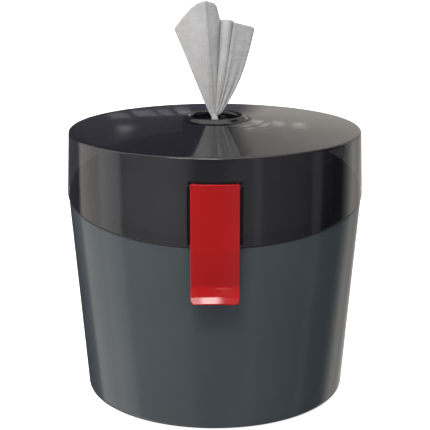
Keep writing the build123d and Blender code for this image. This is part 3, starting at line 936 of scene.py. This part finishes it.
def fan_point(u, spot, normal, height):
    """A point of the open fan. Its spot is on the fold line at full height."""
    right = smooth((spot.x - BULGE_START) / BULGE_SPAN)
    rise = height / TOWEL_HEIGHT
    bulge = TOWEL_BULGE * right * sin(pi * min(height / BULGE_TOP, 1.0))
    spread = TOWEL_GATHER + (1 - TOWEL_GATHER) * rise + bulge
    rough = 0.5 + 0.5 * noise.noise(Vector((u * 31, 3, 5)))
    pleat = (PLEAT_DEPTH + PLEAT_EXTRA * (1 - rise) ** 2) * 0.5 * (0.35 + 0.65 * rough)
    pleat *= cos(2 * pi * PLEATS * u + 1.3 * rough)
    pleat *= smooth(height / PLEAT_START) * (1 - 0.72 * smooth((rise - 0.2) / 0.6))
    billow = noise.noise(Vector((spot.x * 0.05, spot.y * 0.05 + 7, height * 0.03)))
    out = pleat + BILLOW * billow * smooth(rise * 1.6)
    return Vector((spot.x * spread + normal.x * out, spot.y * spread + normal.y * out, height))


def towel_column(u, folds, index):
    """Points up one line of the towel, from the strand's foot to the torn edge."""
    x, y, top = folds[index]
    before = folds[max(index - 1, 0)]
    after = folds[min(index + 1, len(folds) - 1)]
    along = Vector((after.x - before.x, after.y - before.y, 0)).normalized()
    normal = Vector((along.y, -along.x, 0))
    ragged = 0.5 * noise.noise(Vector((u * 60, 11, 0))) + 0.25 * noise.noise(Vector((u * 210, 1, 0)))
    column = [strand_point(u, -TOWEL_STRAND * step / TOWEL_DOWN) for step in range(TOWEL_DOWN, 0, -1)]
    for step in range(TOWEL_UP + 1):
        height = (top + ragged) * step / TOWEL_UP
        fan = fan_point(u, Vector((x, y, 0)), normal, height)
        column.append(fan.lerp(strand_point(u, height), smooth(1 - height / TOWEL_NECK)))
    return column


def make_towel(material):
    """Loose end of the towel: a pleated strand up through the petals that opens into a folded fan."""
    folds = spline(TOWEL_FOLDS, TOWEL_ACROSS)
    columns = [towel_column(index / TOWEL_ACROSS, folds, index) for index in range(TOWEL_ACROSS + 1)]
    verts = [(p.x * MM, p.y * MM, (TOWEL_FOOT + p.z) * MM) for column in columns for p in column]
    count = TOWEL_UP + TOWEL_DOWN + 1
    faces = []
    for index in range(TOWEL_ACROSS):
        for step in range(count - 1):
            low = index * count + step
            faces.append((low, low + count, low + count + 1, low + 1))
    mesh = bpy.data.meshes.new("towel")
    mesh.from_pydata(verts, [], faces)
    towel = finish_piece("towel", mesh, "towel", material, ["towel_sheet"], sharp=180)
    thick = towel.modifiers.new("paper", "SOLIDIFY")
    thick.thickness = TOWEL_THICKNESS * MM
    thick.offset = 0


def dress(name, material, edge=0.0):
    """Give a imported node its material, and rounded edges where edge is a size in millimetres."""
    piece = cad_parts[name]
    piece.data.materials.clear()
    piece.data.materials.append(material)
    if edge:
        round_edges(piece, edge, segments=2)


make_camera()
make_floor()
make_studio()
bpy.context.scene.view_settings.view_transform = "Standard"

slate = moulded("slate_plastic", (0.062, 0.076, 0.080), 0.16, Specular_IOR_Level=0.22)
smoke = smoked("smoked_plastic", 0.88)
smoke_rim = smoked("smoked_rim", 0.98)
smoke_inside = smoked("smoked_inside", 0.12)
smoke_top = smoked("smoked_top", 0.95)
smoke_cheeks = smoked("smoked_cheeks", 0.95, roughness=0.4, Specular_IOR_Level=0.12)
smoke_nozzle = smoked("smoked_nozzle", 0.9, colour=(0.008, 0.0075, 0.009))
red = moulded("red_plastic", (0.43, 0.005, 0.005), 0.12, Specular_IOR_Level=0.32)
dark = moulded("dark_plastic", (0.018, 0.018, 0.020), 0.4)
black = rubber("black_rubber", (0.015, 0.015, 0.015))
steel = drawn_steel("steel")
black_steel = new_material("latch_pin_steel", (0.03, 0.03, 0.033), 0.6, Metallic=1.0)
roll_paper = crepe_paper("roll_paper", (0.70, 0.70, 0.69), (200, 200, 30), 0.0005)
towel_paper = crepe_paper("towel_paper", (0.615, 0.612, 0.585), (60, 60, 900), 0.0009)

make_tub(slate)
make_tub_knuckles(slate)
make_keeper(slate)
make_lid([smoke, smoke_rim, smoke_inside, smoke_top])
make_lid_knuckle(smoke)
make_cheeks(smoke_cheeks)
make_nozzle(smoke_nozzle)
make_roll(roll_paper)
make_latch(red)
make_latch_back(red)
make_towel(towel_paper)
dress("petal_diaphragm", black, 0.15)
dress("clamp_ring", dark, 0.2)
dress("lock_ring", dark, 0.3)
dress("lid_seal", black)
dress("rubber_feet", black, 0.3)
dress("hinge_pin", steel, 0.2)
dress("hinge_pin_caps", dark, 0.3)
dress("latch_pin", black_steel, 0.2)
